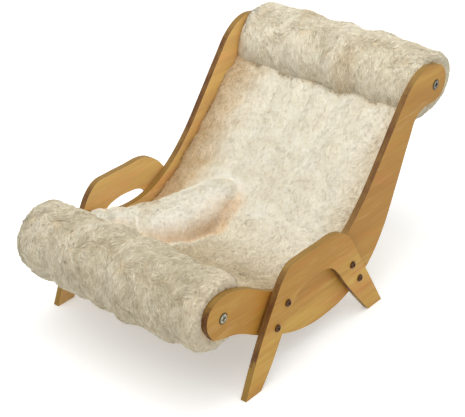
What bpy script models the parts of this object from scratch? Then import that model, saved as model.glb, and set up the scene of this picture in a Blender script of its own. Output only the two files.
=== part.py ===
"""Cat sofa: two plywood side rails and two arched arm plates that carry a padded plush sling.

Metres, +Z up. The sofa faces -Y, and its left side is +X. Side outlines are (back, up) pairs,
measured from the front bar's axis and from the floor. The origin lies on the floor under the
middle of the sofa's length.
"""
import math

import bmesh
import bpy
from mathutils import Matrix, Vector

# Panels
PLY = 0.009
OUTER_WIDTH = 0.352
PANEL_GAP = 0.0035
CLEAR = 0.0003
WELD = 0.00001

# Side outline
FRONT_BAR_UP = 0.1395
TOP_BAR_BACK = 0.463
TOP_BAR_UP = 0.288
ARM_TOP = 0.1640
FRONT_FOOT = (0.0295, 0.0605)
REAR_FOOT = (0.3050, 0.3375)

# Cross bars and what fastens them
BAR_RADIUS = 0.011
INSERT_WALL = 0.002
INSERT_LENGTH = 0.015
BOLT_RADIUS = 0.003
HOLE_ROOM = 0.0004
BAR_BOLT_HEAD_RADIUS = 0.0074
BAR_BOLT_HEAD_HEIGHT = 0.0022
BAR_BOLT_CHAMFER = 0.0007
COUNTERBORE_ROOM = 0.0006
COUNTERBORE_DEPTH = 0.0016
RECESS_REACH = 0.0042
RECESS_WIDTH = 0.0022
RECESS_DEPTH = 0.0015

# Arm bolts, spacer washers and tee nuts. The dome is (share of height, share of radius)
ARM_BOLT_HEAD_RADIUS = 0.0052
ARM_BOLT_HEAD_HEIGHT = 0.0031
ARM_BOLT_DOME = ((1.0, 0.55), (0.75, 0.87), (0.35, 1.0))
SOCKET_RADIUS = 0.0022
SOCKET_DEPTH = 0.0015
SPACER_RADIUS = 0.008
NUT_FLANGE_RADIUS = 0.0095
NUT_FLANGE_HEIGHT = 0.0014
NUT_WALL = 0.0012
NUT_BARREL_LENGTH = 0.0068

# Plush cover and its foam
SLEEVE_THICKNESS = 0.008
FRONT_ROLL_RADIUS = 0.047
TOP_ROLL_DEEP = 0.050
TOP_ROLL_HIGH = 0.041
TOP_ROLL_SHIFT = (0.006, -0.003)
ROLL_CROWN = 0.0015
ROLL_END_DROP = 0.0045
ROLL_END_SHARPNESS = 14
PAD_THICKNESS = 0.016
PAD_EDGE_THICKNESS = 0.009
LINING_THICKNESS = 0.0015
FRONT_SEAM_ANGLE = math.radians(-24)
TOP_SEAM_ANGLE = math.radians(232)
SEAM_RUN = 0.018
MIDDLE_SAG = 0.005
FOLD_HEIGHT = 0.043
FOLD_WIDTH = 0.026

# Counts
CURVE_STEPS = 4
ROUND_STEPS = 20
HARDWARE_STEPS = 12
ROLL_STEPS = 36
PAD_COLUMNS = 18
PAD_ROWS = 30
SEAM_ROWS = 4
LINE_STEPS = 20

# Faces of the panels, from the middle of the sofa
ARM_OUTER_X = OUTER_WIDTH / 2
ARM_INNER_X = ARM_OUTER_X - PLY
RAIL_OUTER_X = ARM_INNER_X - PANEL_GAP
RAIL_INNER_X = RAIL_OUTER_X - PLY
BAR_END_X = RAIL_INNER_X - CLEAR
PAD_EDGE_X = RAIL_INNER_X - NUT_FLANGE_HEIGHT - 3 * CLEAR
SIDES = (("left", 1), ("right", -1))

# Holes and bores
BOLT_HOLE_RADIUS = BOLT_RADIUS + HOLE_ROOM
INSERT_RADIUS = BOLT_RADIUS + CLEAR + INSERT_WALL
NUT_BARREL_RADIUS = BOLT_RADIUS + CLEAR + NUT_WALL

# Bars, rolls and arm bolts in the side plane
FRONT_BAR = Vector((0.0, FRONT_BAR_UP))
TOP_BAR = Vector((TOP_BAR_BACK, TOP_BAR_UP))
TOP_ROLL = TOP_BAR + Vector(TOP_ROLL_SHIFT)
MIDDLE_BACK = (TOP_ROLL.x + TOP_ROLL_DEEP - FRONT_ROLL_RADIUS) / 2
FRONT_LEG_BOLTS = (Vector((0.092, 0.0815)), Vector((0.113, 0.1095)))
REAR_LEG_BOLTS = (Vector((0.2575, 0.0965)), Vector((0.277, 0.0660)))
ARM_BOLTS = FRONT_LEG_BOLTS + REAR_LEG_BOLTS

# Rail outline: offsets from each bar round its tip, and the two edges between the tips
FRONT_TIP = (
    (-0.007, -0.0275), (-0.0193, -0.0225), (-0.0302, -0.0005), (-0.0252, 0.0205),
    (-0.003, 0.0310), (0.0318, 0.0255),
)
FRONT_TIP_CORNER = 1
SEAT_TOP_EDGE = (
    (0.092, 0.132), (0.130, 0.1155), (0.176, 0.1082), (0.215, 0.1145), (0.250, 0.1325),
    (0.291, 0.167), (0.338, 0.226), (0.374, 0.2745),
)
TOP_TIP = (
    (-0.064, 0.0165), (-0.033, 0.0325), (-0.008, 0.0318), (0.016, 0.0225), (0.0258, 0.000),
    (0.018, -0.0180), (0.000, -0.0248), (-0.024, -0.0250), (-0.045, -0.0335),
)
SEAT_LOWER_EDGE = (
    (0.405, 0.230), (0.375, 0.161), (0.344, 0.098), (0.305, 0.057), (0.262, 0.038),
    (0.216, 0.032), (0.170, 0.0355), (0.124, 0.050), (0.072, 0.0755), (0.026, 0.102),
)

# Arm plate outline between its feet: heights over the floor, and along the top drops from it
ARM_FRONT_EDGE = ((0.0495, 0.050), (0.0685, 0.090), (0.0885, 0.126))
ARM_TOP_EDGE = (
    (0.1025, -0.0150), (0.120, -0.0018), (0.142, 0.0), (0.180, 0.0), (0.212, 0.0),
    (0.232, -0.0070),
)
ARM_REAR_EDGE = ((0.2530, 0.1385), (0.2680, 0.1140))
ARCH_REAR_EDGE = ((0.2823, 0.0264), (0.2426, 0.0746), (0.2218, 0.1024))
ARCH_ROOF = ((0.2050, 0.1165), (0.182, 0.1210), (0.156, 0.1205))
ARCH_FRONT_EDGE = ((0.136, 0.1135), (0.1235, 0.0995), (0.1025, 0.0650), (0.0788, 0.0246))

# Middle line of the pad between the rolls
PAD_LINE = (
    (0.086, 0.1035), (0.130, 0.0870), (0.180, 0.0785), (0.222, 0.085), (0.268, 0.111),
    (0.322, 0.156), (0.378, 0.207),
)

# The pad's fold: (from the right rail, back, share of the fold's height)
FOLD_LINE = (
    (0.020, 0.095, 0.45), (0.036, 0.152, 0.75), (0.062, 0.205, 1.0), (0.092, 0.246, 1.0),
)

# Stations along a roll, as shares of half its length
ROLL_STATIONS = (1.0, 0.975, 0.93, 0.82, 0.5, 0.0, -0.5, -0.82, -0.93, -0.975, -1.0)

# Materials: name, colour, roughness, metallic
WOOD = ("plywood", (0.60, 0.38, 0.16), 0.45, 0.0)
BAR_WOOD = ("bar_wood", (0.72, 0.55, 0.34), 0.55, 0.0)
PLUSH = ("plush", (0.84, 0.78, 0.66), 0.95, 0.0)
CLOTH = ("lining", (0.80, 0.75, 0.65), 0.9, 0.0)
FOAM = ("foam", (0.93, 0.90, 0.80), 0.9, 0.0)
ZINC = ("zinc_steel", (0.72, 0.72, 0.70), 0.30, 1.0)
BRONZE = ("bronze_steel", (0.20, 0.13, 0.08), 0.40, 1.0)
NYLON = ("nylon", (0.86, 0.84, 0.78), 0.5, 0.0)


def clear_scene():
    """Remove everything that the file opened with."""
    for thing in list(bpy.data.objects):
        bpy.data.objects.remove(thing, do_unlink=True)


def new_collection(name):
    collection = bpy.data.collections.new(name)
    bpy.context.scene.collection.children.link(collection)
    return collection


def material(spec):
    """The Principled material of a (name, colour, roughness, metallic) row."""
    name, colour, roughness, metallic = spec
    found = bpy.data.materials.get(name)
    if found:
        return found
    made = bpy.data.materials.new(name)
    made.use_nodes = True
    shader = made.node_tree.nodes["Principled BSDF"]
    shader.inputs["Base Color"].default_value = (*colour, 1.0)
    shader.inputs["Roughness"].default_value = roughness
    shader.inputs["Metallic"].default_value = metallic
    return made


def add_part(name, data, spec):
    """A named part of the sofa, carried by the empty at its middle."""
    part = bpy.data.objects.new(name, data)
    if not data.materials:
        data.materials.append(material(spec))
    PARTS.objects.link(part)
    part.parent = MIDDLE
    return part


def add_cutter(name, data):
    """A shape that is only taken out of others."""
    cutter = bpy.data.objects.new(name, data)
    CUTTERS.objects.link(cutter)
    cutter.parent = MIDDLE
    cutter.hide_render = True
    cutter.display_type = "WIRE"
    return cutter


def shade(mesh, degrees=35):
    mesh.shade_smooth()
    mesh.set_sharp_from_angle(angle=math.radians(degrees))


def weld(mesh):
    """Join a curve's loose caps to its sides."""
    work = bmesh.new()
    work.from_mesh(mesh)
    bmesh.ops.remove_doubles(work, verts=work.verts, dist=WELD)
    work.to_mesh(mesh)
    work.free()


def subtract(part, cutter):
    cut = part.modifiers.new("cut_" + cutter.name, "BOOLEAN")
    cut.operation = "DIFFERENCE"
    cut.object = cutter


def evaluated_mesh(thing):
    """A copy of an object's mesh with its modifiers applied."""
    bpy.context.view_layer.update()
    graph = bpy.context.evaluated_depsgraph_get()
    return bpy.data.meshes.new_from_object(thing.evaluated_get(graph))


def circle(centre, radius, steps, flat=1.0):
    """Points of a circle, or of an ellipse whose height is flat times its depth."""
    points = []
    for step in range(steps):
        angle = 2 * math.pi * step / steps
        offset = Vector((math.cos(angle), flat * math.sin(angle)))
        points.append(centre + radius * offset)
    return points


def flat_curve(name, thickness):
    """A filled 2D curve of a panel's thickness, with its middle in the XY plane."""
    curve = bpy.data.curves.new(name, "CURVE")
    curve.dimensions = "2D"
    curve.fill_mode = "BOTH"
    curve.extrude = thickness / 2
    curve.resolution_u = CURVE_STEPS
    return curve


def add_smooth_loop(curve, points, corners):
    """A closed Bezier outline, smooth at each point but at the corners."""
    spline = curve.splines.new("BEZIER")
    spline.bezier_points.add(len(points) - 1)
    spline.use_cyclic_u = True
    for index, point in enumerate(points):
        knot = spline.bezier_points[index]
        knot.co = (point.x, point.y, 0.0)
        kind = "VECTOR" if index in corners else "AUTO"
        knot.handle_left_type = kind
        knot.handle_right_type = kind


def add_straight_loop(curve, points):
    spline = curve.splines.new("POLY")
    spline.points.add(len(points) - 1)
    spline.use_cyclic_u = True
    for knot, point in zip(spline.points, points):
        knot.co = (point.x, point.y, 0.0, 1.0)


def stand_up(name, curve, x, spec):
    """Turn a flat (back, up) outline into the side plane at x, as a welded mesh."""
    outline = add_part(name + "_outline", curve, spec)
    outline.rotation_euler = (math.radians(90), 0.0, math.radians(90))
    outline.location = (x, 0.0, 0.0)
    mesh = evaluated_mesh(outline)
    weld(mesh)
    shade(mesh)
    panel = add_part(name, mesh, spec)
    panel.matrix_world = outline.matrix_world
    bpy.data.objects.remove(outline, do_unlink=True)
    return panel


def cylinder(name, radius, depth, steps=ROUND_STEPS):
    """A cylinder with its axis along X and its middle at the origin."""
    mesh = bpy.data.meshes.new(name)
    work = bmesh.new()
    bmesh.ops.create_cone(
        work, cap_ends=True, segments=steps, radius1=radius, radius2=radius, depth=depth,
        matrix=Matrix.Rotation(math.radians(90), 4, "Y"),
    )
    work.to_mesh(mesh)
    work.free()
    shade(mesh)
    return mesh


def turned(name, profile, steps=HARDWARE_STEPS):
    """A profile of (along, radius) points turned about X, listed from +X down its outer side."""
    mesh = bpy.data.meshes.new(name)
    work = bmesh.new()
    knots = [work.verts.new((radius, 0.0, along)) for along, radius in profile]
    for start, end in zip(knots, knots[1:]):
        work.edges.new((start, end))
    if profile[0][1] > 0.0:
        work.edges.new((knots[-1], knots[0]))
    work.to_mesh(mesh)
    work.free()
    shape = add_cutter(name + "_profile", mesh)
    screw = shape.modifiers.new("turn", "SCREW")
    screw.steps = steps
    screw.render_steps = steps
    screw.use_merge_vertices = True
    screw.merge_threshold = WELD
    solid = evaluated_mesh(shape)
    bpy.data.objects.remove(shape, do_unlink=True)
    solid.transform(Matrix.Rotation(math.radians(90), 4, "Y"))
    shade(solid)
    return solid


def tube_profile(high, low, outer, inner):
    """The profile of a plain tube from low to high along its axis."""
    return ((high, inner), (high, outer), (low, outer), (low, inner))


def with_recess(name, mesh, recess):
    """The mesh with a recess taken out of it, both in the same place."""
    shape = add_cutter(name + "_whole", mesh)
    tool = add_cutter(name + "_recess", recess)
    subtract(shape, tool)
    solid = evaluated_mesh(shape)
    for thing in (shape, tool):
        bpy.data.objects.remove(thing, do_unlink=True)
    shade(solid)
    return solid


def cross_bar(name, reach, width, depth):
    """A bar along X with a cross-shaped section, for a screwdriver's recess."""
    corners = []
    for quarter in range(4):
        turn = Matrix.Rotation(math.radians(90) * quarter, 2)
        for corner in ((reach, -width / 2), (reach, width / 2), (width / 2, width / 2)):
            corners.append(turn @ Vector(corner))
    curve = flat_curve(name, depth)
    add_straight_loop(curve, corners)
    outline = add_cutter(name, curve)
    mesh = evaluated_mesh(outline)
    bpy.data.objects.remove(outline, do_unlink=True)
    weld(mesh)
    mesh.transform(Matrix.Rotation(math.radians(90), 4, "Y"))
    return mesh


def place_facing(name, mesh, x, point, side, spec):
    """A piece of hardware at a place in the side plane, facing left or right."""
    part = add_part(name, mesh, spec)
    part.location = (x, point.x, point.y)
    part.rotation_euler = (0.0, 0.0, 0.0 if side > 0 else math.pi)
    return part


def build_rail(name, side):
    """An S-shaped rail with its through holes, and counterbores for the bar bolts' heads."""
    points = [FRONT_BAR + Vector(offset) for offset in FRONT_TIP]
    points += [Vector(point) for point in SEAT_TOP_EDGE]
    points += [TOP_BAR + Vector(offset) for offset in TOP_TIP]
    points += [Vector(point) for point in SEAT_LOWER_EDGE]
    curve = flat_curve(name, PLY)
    add_smooth_loop(curve, points, corners=[FRONT_TIP_CORNER])
    for centre in (FRONT_BAR, TOP_BAR):
        add_straight_loop(curve, circle(centre, BOLT_HOLE_RADIUS, HARDWARE_STEPS))
    for centre in ARM_BOLTS:
        add_straight_loop(curve, circle(centre, NUT_BARREL_RADIUS + HOLE_ROOM, HARDWARE_STEPS))
    rail = stand_up(name, curve, side * (RAIL_OUTER_X - PLY / 2), WOOD)
    radius = BAR_BOLT_HEAD_RADIUS + COUNTERBORE_ROOM
    mesh = cylinder(name + "_counterbore", radius, 2 * COUNTERBORE_DEPTH)
    for label, centre in (("front", FRONT_BAR), ("top", TOP_BAR)):
        cutter = add_cutter(f"{name}_{label}_counterbore", mesh)
        cutter.location = (side * RAIL_OUTER_X, centre.x, centre.y)
        subtract(rail, cutter)
    return rail


def build_arm(name, side):
    """An arched plate that is armrest, front leg and rear leg in one."""
    points = [Vector((FRONT_FOOT[0], 0.0))]
    points += [Vector(point) for point in ARM_FRONT_EDGE]
    points += [Vector((back, ARM_TOP + drop)) for back, drop in ARM_TOP_EDGE]
    points += [Vector(point) for point in ARM_REAR_EDGE]
    points += [Vector((REAR_FOOT[1], 0.0)), Vector((REAR_FOOT[0], 0.0))]
    points += [Vector(point) for point in ARCH_REAR_EDGE + ARCH_ROOF + ARCH_FRONT_EDGE]
    points.append(Vector((FRONT_FOOT[1], 0.0)))
    curve = flat_curve(name, PLY)
    add_smooth_loop(curve, points, corners=[i for i, point in enumerate(points) if point.y == 0.0])
    for centre in ARM_BOLTS:
        add_straight_loop(curve, circle(centre, BOLT_HOLE_RADIUS, HARDWARE_STEPS))
    return stand_up(name, curve, side * (ARM_OUTER_X - PLY / 2), WOOD)


def build_bar(name, centre):
    """A round cross bar between the rails, bored at each end for its threaded insert."""
    bar = add_part(name, cylinder(name, BAR_RADIUS, 2 * BAR_END_X), BAR_WOOD)
    bar.location = (0.0, centre.x, centre.y)
    bore = cylinder(name + "_bore", INSERT_RADIUS + CLEAR, 2 * (INSERT_LENGTH + CLEAR), HARDWARE_STEPS)
    for label, side in SIDES:
        cutter = add_cutter(f"{name}_{label}_bore", bore)
        cutter.location = (side * BAR_END_X, centre.x, centre.y)
        subtract(bar, cutter)
    return bar


def build_inserts(name, centre):
    """The threaded insert in each end of a bar."""
    profile = tube_profile(0.0, -INSERT_LENGTH, INSERT_RADIUS, BOLT_RADIUS + CLEAR)
    mesh = turned(name, profile)
    for label, side in SIDES:
        place_facing(f"{label}_{name}", mesh, side * BAR_END_X, centre, side, ZINC)


def build_bar_bolts(name, centre):
    """Flat-headed bolts with a cross recess, through each rail into the bar's inserts."""
    seat = RAIL_OUTER_X - COUNTERBORE_DEPTH + CLEAR
    head = BAR_BOLT_HEAD_HEIGHT
    rim = BAR_BOLT_HEAD_RADIUS - BAR_BOLT_CHAMFER
    end = seat - BAR_END_X + INSERT_LENGTH - CLEAR
    profile = (
        (head, 0.0), (head, rim), (head - BAR_BOLT_CHAMFER, BAR_BOLT_HEAD_RADIUS),
        (0.0, BAR_BOLT_HEAD_RADIUS), (0.0, BOLT_RADIUS), (-end, BOLT_RADIUS), (-end, 0.0),
    )
    recess = cross_bar(name + "_cross", RECESS_REACH, RECESS_WIDTH, 2 * RECESS_DEPTH)
    recess.transform(Matrix.Translation((head, 0.0, 0.0)))
    mesh = with_recess(name, turned(name, profile, ROUND_STEPS), recess)
    for label, side in SIDES:
        place_facing(f"{label}_{name}", mesh, side * seat, centre, side, ZINC)


def arm_bolt_places():
    """Each arm bolt's side name, side, number and place in the side plane."""
    for label, side in SIDES:
        for count, centre in enumerate(ARM_BOLTS, start=1):
            yield label, side, count, centre


def build_arm_bolts():
    """Button-headed bolts with a hexagon socket, through arm plate, spacer and nut."""
    head = ARM_BOLT_HEAD_HEIGHT + CLEAR
    end = ARM_OUTER_X - RAIL_INNER_X + NUT_FLANGE_HEIGHT
    profile = [(head, 0.0)]
    for height, radius in ARM_BOLT_DOME:
        profile.append((CLEAR + height * ARM_BOLT_HEAD_HEIGHT, radius * ARM_BOLT_HEAD_RADIUS))
    profile += [(CLEAR, ARM_BOLT_HEAD_RADIUS), (CLEAR, BOLT_RADIUS), (-end, BOLT_RADIUS), (-end, 0.0)]
    socket = cylinder("socket", SOCKET_RADIUS, 2 * SOCKET_DEPTH, steps=6)
    socket.transform(Matrix.Translation((head, 0.0, 0.0)))
    mesh = with_recess("arm_bolt", turned("arm_bolt", profile), socket)
    for label, side, count, centre in arm_bolt_places():
        place_facing(f"{label}_arm_bolt_{count}", mesh, side * ARM_OUTER_X, centre, side, BRONZE)


def build_spacers():
    """A washer on each arm bolt, which keeps the arm plate off the rail."""
    half = PANEL_GAP / 2 - CLEAR
    mesh = turned("spacer", tube_profile(half, -half, SPACER_RADIUS, BOLT_HOLE_RADIUS))
    for label, side, count, centre in arm_bolt_places():
        x = side * (RAIL_OUTER_X + PANEL_GAP / 2)
        place_facing(f"{label}_spacer_{count}", mesh, x, centre, side, NYLON)


def build_tee_nuts():
    """A flanged nut on the rail's inner face for each arm bolt, with its barrel in the hole."""
    bore = BOLT_RADIUS + CLEAR
    face = -CLEAR - NUT_FLANGE_HEIGHT
    profile = (
        (NUT_BARREL_LENGTH, bore), (NUT_BARREL_LENGTH, NUT_BARREL_RADIUS), (-CLEAR, NUT_BARREL_RADIUS),
        (-CLEAR, NUT_FLANGE_RADIUS), (face, NUT_FLANGE_RADIUS), (face, bore),
    )
    mesh = turned("tee_nut", profile)
    for label, side, count, centre in arm_bolt_places():
        place_facing(f"{label}_tee_nut_{count}", mesh, side * RAIL_INNER_X, centre, side, ZINC)


def build_foam(name, bar, centre, deep, high):
    """The foam core round a bar, as deep and high as the sleeve leaves room for."""
    outer = deep - SLEEVE_THICKNESS - CLEAR
    flat = (high - SLEEVE_THICKNESS - CLEAR) / outer
    curve = flat_curve(name, 2 * BAR_END_X)
    add_straight_loop(curve, circle(centre, outer, ROLL_STEPS, flat))
    add_straight_loop(curve, circle(bar, BAR_RADIUS + CLEAR, ROUND_STEPS))
    return stand_up(name, curve, 0.0, FOAM)


def build_sleeve(name, centre, deep, high):
    """The plush sleeve round a foam core: fullest in the middle, drawn in at its ends."""
    inner = deep - SLEEVE_THICKNESS
    profile = [(BAR_END_X, inner)]
    for share in ROLL_STATIONS:
        drop = ROLL_END_DROP * share ** ROLL_END_SHARPNESS + ROLL_CROWN * share ** 2
        profile.append((share * BAR_END_X, deep - drop))
    profile.append((-BAR_END_X, inner))
    wall = turned(name, profile, ROLL_STEPS)
    for vert in wall.vertices:
        inside = math.hypot(vert.co.y, vert.co.z) < inner + CLEAR
        vert.co.z *= (high - SLEEVE_THICKNESS) / inner if inside else high / deep
    sleeve = add_part(name, wall, PLUSH)
    sleeve.location = (0.0, centre.x, centre.y)
    return sleeve


def seam_on_roll(centre, deep, high, angle):
    """Where the pad meets a roll at an angle, and the direction out of the roll there."""
    offset = Vector((deep * math.cos(angle), high * math.sin(angle)))
    outward = Vector((offset.x / deep ** 2, offset.y / high ** 2)).normalized()
    return centre + offset + outward * CLEAR, outward


def smooth_line(knots, count):
    """Evenly spaced points on a smooth curve from the second knot to the last but one."""
    dense = []
    for a, b, c, d in zip(knots, knots[1:], knots[2:], knots[3:]):
        for step in range(LINE_STEPS):
            t = step / LINE_STEPS
            line = 2 * b + (c - a) * t
            bend = (2 * a - 5 * b + 4 * c - d) * t ** 2 + (3 * b - a - 3 * c + d) * t ** 3
            dense.append(0.5 * (line + bend))
    dense.append(knots[-2])
    lengths = [0.0]
    for start, end in zip(dense, dense[1:]):
        lengths.append(lengths[-1] + (end - start).length)
    points = []
    place = 0
    for index in range(count):
        want = lengths[-1] * index / (count - 1)
        while place < len(dense) - 2 and lengths[place + 1] < want:
            place += 1
        share = (want - lengths[place]) / (lengths[place + 1] - lengths[place])
        points.append(dense[place].lerp(dense[place + 1], share))
    return points


def pad_line():
    """The pad's middle line from the front roll to the top roll, and its way up at each point."""
    start, start_out = seam_on_roll(FRONT_BAR, FRONT_ROLL_RADIUS, FRONT_ROLL_RADIUS, FRONT_SEAM_ANGLE)
    end, end_out = seam_on_roll(TOP_ROLL, TOP_ROLL_DEEP, TOP_ROLL_HIGH, TOP_SEAM_ANGLE)
    knots = [start, start + start_out * SEAM_RUN]
    knots += [Vector(point) for point in PAD_LINE]
    knots += [end + end_out * SEAM_RUN, end]
    line = [start, *smooth_line(knots, PAD_ROWS - 1), end]
    ways = [start_out]
    ways += [after - before for before, after in zip(line, line[2:])]
    ways.append(-end_out)
    ups = [Vector((-way.y, way.x)).normalized() for way in ways]
    return line, ups


def slack(row):
    """How free a row is to sag or fold: not at all by the seams, wholly a few rows in."""
    share = (min(row, PAD_ROWS - row) - 1) / SEAM_ROWS
    share = max(0.0, min(1.0, share))
    return share * share * (3 - 2 * share)


def fold_rise(x, back):
    """How far the fold lifts the pad at a place: a soft ridge along the fold's line."""
    here = Vector((x + RAIL_INNER_X, back))
    rise = 0.0
    for start, end in zip(FOLD_LINE, FOLD_LINE[1:]):
        near, far = Vector(start[:2]), Vector(end[:2])
        run = far - near
        share = max(0.0, min(1.0, (here - near).dot(run) / run.length_squared))
        height = start[2] + share * (end[2] - start[2])
        away = (here - near - share * run).length / FOLD_WIDTH
        rise = max(rise, height * math.exp(-(away ** 2)))
    return FOLD_HEIGHT * rise


def edge_or_whole(across, at_edge, elsewhere):
    """One value at the pad's long edges, where across is 1 or -1, and another between them."""
    return at_edge if abs(across) > 0.999 else elsewhere


def pad_surface(name):
    """The pad's upper face as an open grid."""
    line, ups = pad_line()
    mesh = bpy.data.meshes.new(name)
    work = bmesh.new()
    bmesh.ops.create_grid(work, x_segments=PAD_COLUMNS, y_segments=PAD_ROWS, size=1.0)
    for vert in work.verts:
        across = vert.co.x
        row = round((vert.co.y + 1) / 2 * PAD_ROWS)
        x = across * PAD_EDGE_X
        bend = fold_rise(x, line[row].x) - MIDDLE_SAG * (1 - across ** 2)
        lift = edge_or_whole(across, PAD_EDGE_THICKNESS, PAD_THICKNESS) / 2 + bend * slack(row)
        place = line[row] + ups[row] * lift
        vert.co = (x, place.x, place.y)
    work.to_mesh(mesh)
    work.free()
    shade(mesh, 60)
    return mesh


def thicken(part, thickness, edge_thickness):
    """Make an open surface a solid that lies below it, with thinner long edges."""
    weights = part.vertex_groups.new(name="thickness")
    for vert in part.data.vertices:
        share = edge_or_whole(vert.co.x / PAD_EDGE_X, edge_thickness / thickness, 1.0)
        weights.add([vert.index], share, "REPLACE")
    solid = part.modifiers.new("thickness", "SOLIDIFY")
    solid.thickness = thickness
    solid.offset = -1.0
    solid.vertex_group = weights.name


def build_pad(name):
    """The padded plush seat and back, one sheet sewn to both sleeves."""
    pad = add_part(name, pad_surface(name), PLUSH)
    thicken(pad, PAD_THICKNESS, PAD_EDGE_THICKNESS)
    return pad


def build_lining(name):
    """The cloth sewn under the pad, following its lower face."""
    mesh = pad_surface(name)
    under = []
    for vert in mesh.vertices:
        depth = edge_or_whole(vert.co.x / PAD_EDGE_X, PAD_EDGE_THICKNESS, PAD_THICKNESS) + CLEAR
        under.append(vert.co - vert.normal * depth)
    for vert, place in zip(mesh.vertices, under):
        vert.co = place
    lining = add_part(name, mesh, CLOTH)
    thicken(lining, LINING_THICKNESS, LINING_THICKNESS)
    return lining


clear_scene()
PARTS = new_collection("cat_sofa")
CUTTERS = new_collection("cutters")
MIDDLE = bpy.data.objects.new("middle", None)
MIDDLE.location = (0.0, -MIDDLE_BACK, 0.0)
PARTS.objects.link(MIDDLE)

for name_of_side, sign in SIDES:
    build_rail(name_of_side + "_rail", sign)
    build_arm(name_of_side + "_arm", sign)
build_arm_bolts()
build_spacers()
build_tee_nuts()
for name_of_end, axis in (("front", FRONT_BAR), ("top", TOP_BAR)):
    build_bar(name_of_end + "_bar", axis)
    build_inserts(name_of_end + "_insert", axis)
    build_bar_bolts(name_of_end + "_bar_bolt", axis)
build_foam("front_foam", FRONT_BAR, FRONT_BAR, FRONT_ROLL_RADIUS, FRONT_ROLL_RADIUS)
build_foam("top_foam", TOP_BAR, TOP_ROLL, TOP_ROLL_DEEP, TOP_ROLL_HIGH)
build_sleeve("front_sleeve", FRONT_BAR, FRONT_ROLL_RADIUS, FRONT_ROLL_RADIUS)
build_sleeve("top_sleeve", TOP_ROLL, TOP_ROLL_DEEP, TOP_ROLL_HIGH)
build_pad("seat_pad")
build_lining("seat_lining")
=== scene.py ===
import math

import bmesh
import bpy
import numpy as np
from mathutils import Matrix, Vector, kdtree
from mathutils.bvhtree import BVHTree


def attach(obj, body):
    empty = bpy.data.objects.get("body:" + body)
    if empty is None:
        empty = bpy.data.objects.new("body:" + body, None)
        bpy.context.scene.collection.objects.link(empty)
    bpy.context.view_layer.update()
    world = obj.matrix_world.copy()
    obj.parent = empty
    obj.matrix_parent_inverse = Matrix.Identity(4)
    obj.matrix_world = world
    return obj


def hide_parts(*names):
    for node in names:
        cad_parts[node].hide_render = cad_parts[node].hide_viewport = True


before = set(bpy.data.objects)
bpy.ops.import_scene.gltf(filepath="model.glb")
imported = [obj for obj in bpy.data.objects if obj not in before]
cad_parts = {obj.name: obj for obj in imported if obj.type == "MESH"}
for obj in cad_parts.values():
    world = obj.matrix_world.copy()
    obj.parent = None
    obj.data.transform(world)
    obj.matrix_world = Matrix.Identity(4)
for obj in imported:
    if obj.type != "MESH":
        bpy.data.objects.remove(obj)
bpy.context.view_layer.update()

# Camera, at the photograph's angle
CAMERA_PLACE = Vector((0.9904, -1.2219, 1.0266))
CAMERA_AZIMUTH = math.radians(39.49)
CAMERA_ELEVATION = math.radians(29.69)
CAMERA_LENS = 99.64

# Strength of the world's light on the object, where what the camera sees of it is 1
WORLD_LEVEL = 0.70

# The bar bolts' axes, as (y, z), and the distances from them that a head's painted dark rim, the shade of
# its recess, lies between, in metres
FRONT_BOLT = (-0.236, 0.1395)
TOP_BOLT = (0.227, 0.288)
RIM_START = 0.0050
RIM_END = 0.0064

# Pitch of the plies and of the two weaves, in metres
PLY_PITCH = 0.0018
LINING_PITCH = 0.0011
THREAD_PITCH = 0.0008

# The rails' inner faces and how far the soft pieces may reach beside them, in metres
RAIL_INNER = 0.1545
STRAND_LIMIT = RAIL_INNER - 0.0006
OVERHANG_LIMIT = RAIL_INNER + 0.0065

# The rolls' middles, in metres
FRONT_AXIS = np.array((0.0, -0.236, 0.1395))
TOP_AXIS = np.array((0.0, 0.233, 0.285))

# Directions across a roll: square to the parting, to the seam with the seat, and to the row of stitches
PARTING = np.array((0.0, math.cos(math.radians(35)), math.sin(math.radians(35))))
SEAM_WAY = np.array((0.0, -0.80, -0.60))
STITCH_WAY = np.array((0.0, -0.891, -0.454))

# Mesh size of the soft pieces in metres, and how they are blown up
VOXEL = 0.005
PUFF_PRESSURE = 4.0
PUFF_FRAMES = 20
PUFF_CAP = 0.004

# Strands in one piece of pile and in one fringe, and a strand's points
PILE_COUNT = 19900
FRINGE_COUNT = 16000
STRAND_POINTS = 7


def srgb(red, green, blue):
    """A colour given as 0 to 255, as the linear values that a shader takes."""
    levels = (red / 255, green / 255, blue / 255)
    return tuple(((v + 0.055) / 1.055) ** 2.4 if v > 0.04045 else v / 12.92 for v in levels) + (1.0,)


# Node helpers

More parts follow.
